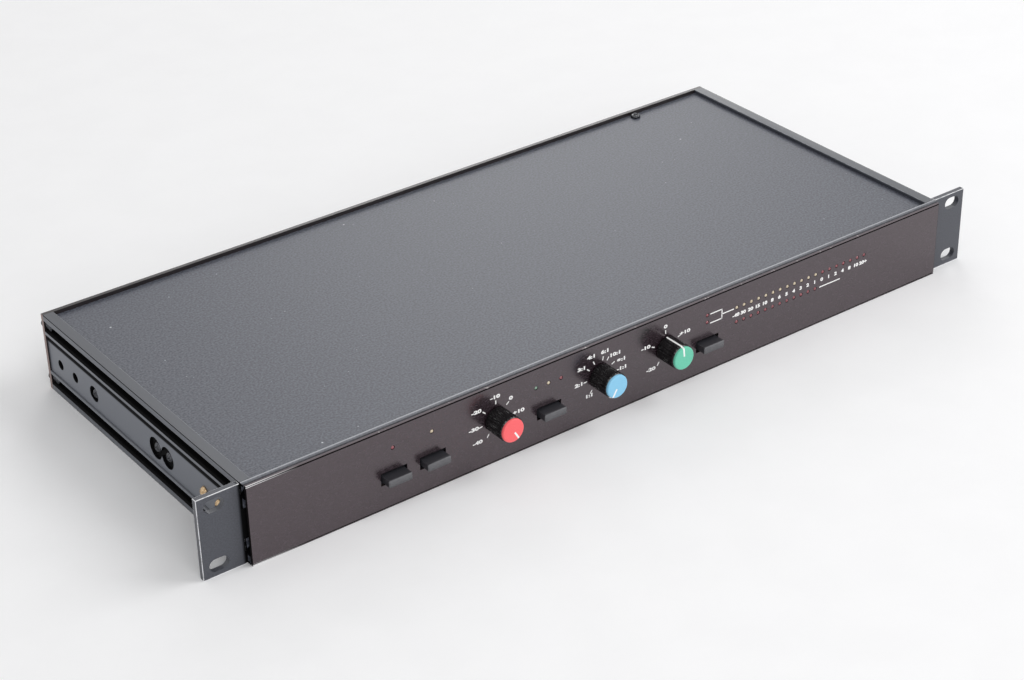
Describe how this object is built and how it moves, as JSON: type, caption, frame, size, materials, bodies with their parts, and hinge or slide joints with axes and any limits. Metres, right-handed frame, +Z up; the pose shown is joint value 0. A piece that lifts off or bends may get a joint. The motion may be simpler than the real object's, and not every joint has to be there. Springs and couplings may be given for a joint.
{
  "type": "rack compressor",
  "caption": "One-unit rack audio compressor: grooved rails, slide-in covers, slotted ears, turning dials, push buttons and lamp meters on the front, sockets on the rear.",
  "frame": {"origin": "centre of the four rack slots, on the ears' front face", "axes": "+X to the right as seen from the front, +Y to the rear, +Z up"},
  "size_m": [0.4826, 0.2191, 0.0436],
  "materials": {
    "rail": "black anodised",
    "cover": "satin dark grey",
    "front": "brown-black anodised",
    "rear": "brown-black anodised",
    "plate": "plain zinc",
    "ear": "satin black",
    "brass_screw": "yellow zinc",
    "steel": "bright zinc",
    "black_screw": "black oxide",
    "board": "green solder mask",
    "black_plastic": "moulded black",
    "ribbon": "grey",
    "lens_amber": "tinted lens, unlit",
    "lens_red": "tinted lens, unlit",
    "lens_green": "tinted lens, unlit",
    "switch_case": "off white",
    "knob": "moulded black",
    "button": "moulded black",
    "cap_red": "coral red",
    "cap_blue": "light blue",
    "cap_green": "green",
    "core": "varnished plates",
    "winding": "enamelled wire",
    "capacitor": "blue-black sleeve",
    "socket": "black chrome",
    "contact": "plated contacts"
  },
  "bodies": {
    "chassis": {"left_rail": "rail", "right_rail": "rail", "top_cover": "cover", "bottom_cover": "cover", "front_panel": "front", "front_subpanel": "cover", "rear_panel": "rear", "left_ear": "ear", "right_ear": "ear", "ear_screws": "brass_screw", "rail_end_screws": "black_screw", "rail_web_screws": "black_screw", "cover_screw": "black_screw", "cover_bracket": "plate", "front_nuts": "steel", "main_board": "board", "board_posts": "steel", "chassis_screws": "steel", "control_board": "board", "ribbon_headers": "black_plastic", "ribbon_cable": "ribbon", "amber_leds": "lens_amber", "red_leds": "lens_red", "green_led": "lens_green", "threshold_pot": "plate", "ratio_pot": "plate", "gain_pot": "plate", "push_switches": "switch_case", "transformer_core": "core", "transformer_winding": "winding", "transformer_frame": "plate", "filter_capacitors": "capacitor", "regulators": "black_plastic", "signal_chips": "black_plastic", "gain_module": "plate", "mains_inlet": "black_plastic", "inlet_pins": "contact", "fuse_holder": "black_plastic", "input_socket": "socket", "input_core": "black_plastic", "output_socket": "socket", "output_pins": "contact", "phone_jacks": "black_plastic", "rear_nuts": "steel", "rear_screws": "steel"},
    "threshold_dial": {"threshold_shaft": "steel", "threshold_knob": "knob", "threshold_cap": "cap_red"},
    "ratio_dial": {"ratio_shaft": "steel", "ratio_knob": "knob", "ratio_cap": "cap_blue"},
    "gain_dial": {"gain_shaft": "steel", "gain_knob": "knob", "gain_cap": "cap_green"},
    "bypass_push": {"bypass_button": "button"},
    "link_push": {"link_button": "button"},
    "knee_push": {"knee_button": "button"},
    "meter_push": {"meter_button": "button"},
    "latch_tab": {"input_latch": "steel"},
    "fuse_lid": {"fuse_cap": "black_plastic"}
  },
  "joints": [
    {"name": "threshold_turn", "type": "hinge", "parent": "chassis", "child": "threshold_dial", "pos_m": [-0.0805, -0.004, 0.0027], "axis": [0, 1, 0], "range_deg": [-299, 1]},
    {"name": "ratio_turn", "type": "hinge", "parent": "chassis", "child": "ratio_dial", "pos_m": [-0.017, -0.004, 0.0027], "axis": [0, 1, 0], "range_deg": [-1, 299]},
    {"name": "gain_turn", "type": "hinge", "parent": "chassis", "child": "gain_dial", "pos_m": [0.0257, -0.004, 0.0027], "axis": [0, 1, 0], "range_deg": [-144, 156]},
    {"name": "bypass_press", "type": "slide", "parent": "chassis", "child": "bypass_push", "axis": [0, 1, 0], "range_m": [0, 0.003], "stiffness_N_per_m": 300},
    {"name": "link_press", "type": "slide", "parent": "chassis", "child": "link_push", "axis": [0, 1, 0], "range_m": [0, 0.003], "stiffness_N_per_m": 300},
    {"name": "knee_press", "type": "slide", "parent": "chassis", "child": "knee_push", "axis": [0, 1, 0], "range_m": [0, 0.003], "stiffness_N_per_m": 300},
    {"name": "meter_press", "type": "slide", "parent": "chassis", "child": "meter_push", "axis": [0, 1, 0], "range_m": [0, 0.003], "stiffness_N_per_m": 300},
    {"name": "latch_press", "type": "slide", "parent": "chassis", "child": "latch_tab", "axis": [0, -1, 0], "range_m": [0, 0.001], "stiffness_N_per_m": 500},
    {"name": "fuse_turn", "type": "hinge", "parent": "chassis", "child": "fuse_lid", "pos_m": [-0.1268, 0.1984, 0], "axis": [0, 1, 0], "range_deg": [0, 45]}
  ]
}
